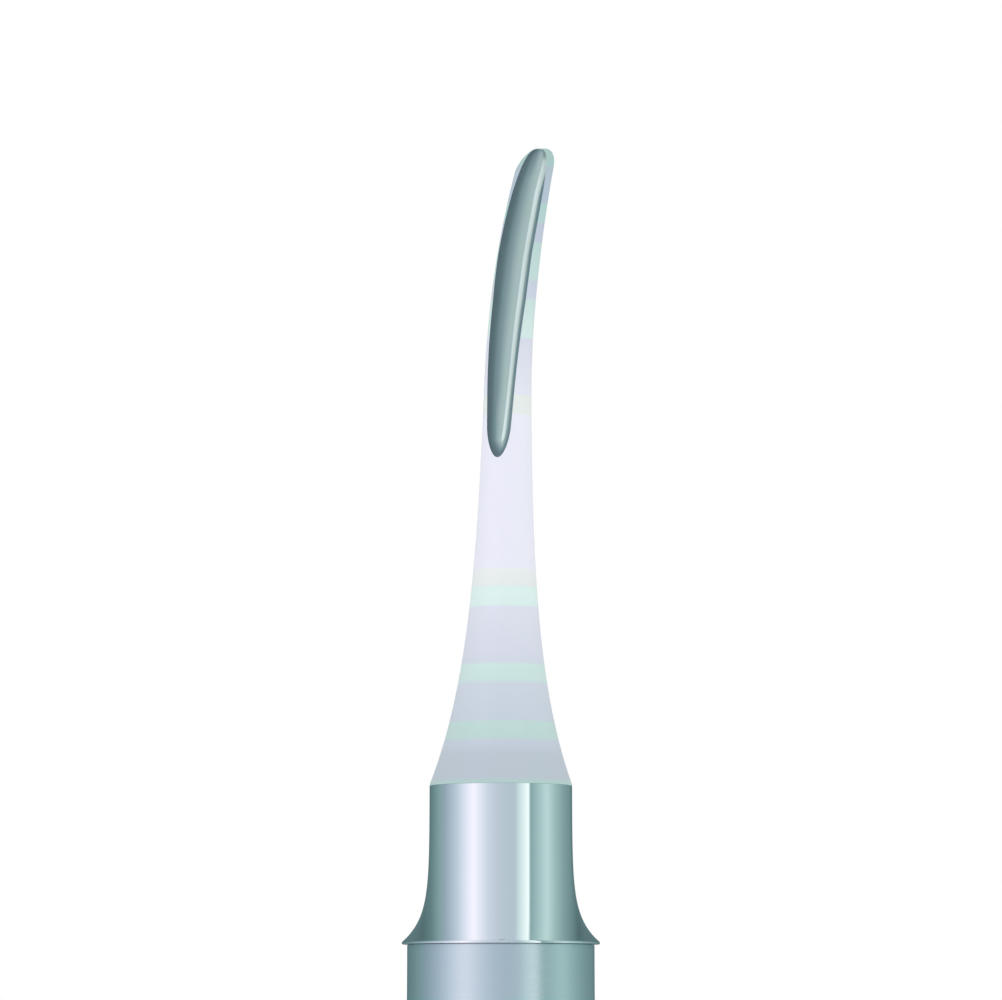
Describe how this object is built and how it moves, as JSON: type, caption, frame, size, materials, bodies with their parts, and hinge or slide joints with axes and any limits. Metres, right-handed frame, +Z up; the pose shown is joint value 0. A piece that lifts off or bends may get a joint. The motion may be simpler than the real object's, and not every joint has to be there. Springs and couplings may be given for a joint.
{
  "type": "dental root elevator",
  "caption": "Root elevator with a bent, scooped blade on a slender flared shank, a bell collar and a smooth hollow handle that stands on its flat butt.",
  "frame": {"origin": "centre of the butt's flat face, on the handle's axis", "axes": "+Z up the handle's axis towards the tip, the scoop faces -Y, and the tip bends towards +X"},
  "size_m": [0.0158, 0.0158, 0.1503],
  "materials": {
    "working_end_steel": "satin",
    "collar_steel": "polished",
    "handle_steel": "satin",
    "plug_steel": "polished"
  },
  "bodies": {
    "root": {"working_end": "working_end_steel", "collar": "collar_steel", "handle_tube": "handle_steel", "butt_plug": "plug_steel"}
  },
  "joints": []
}
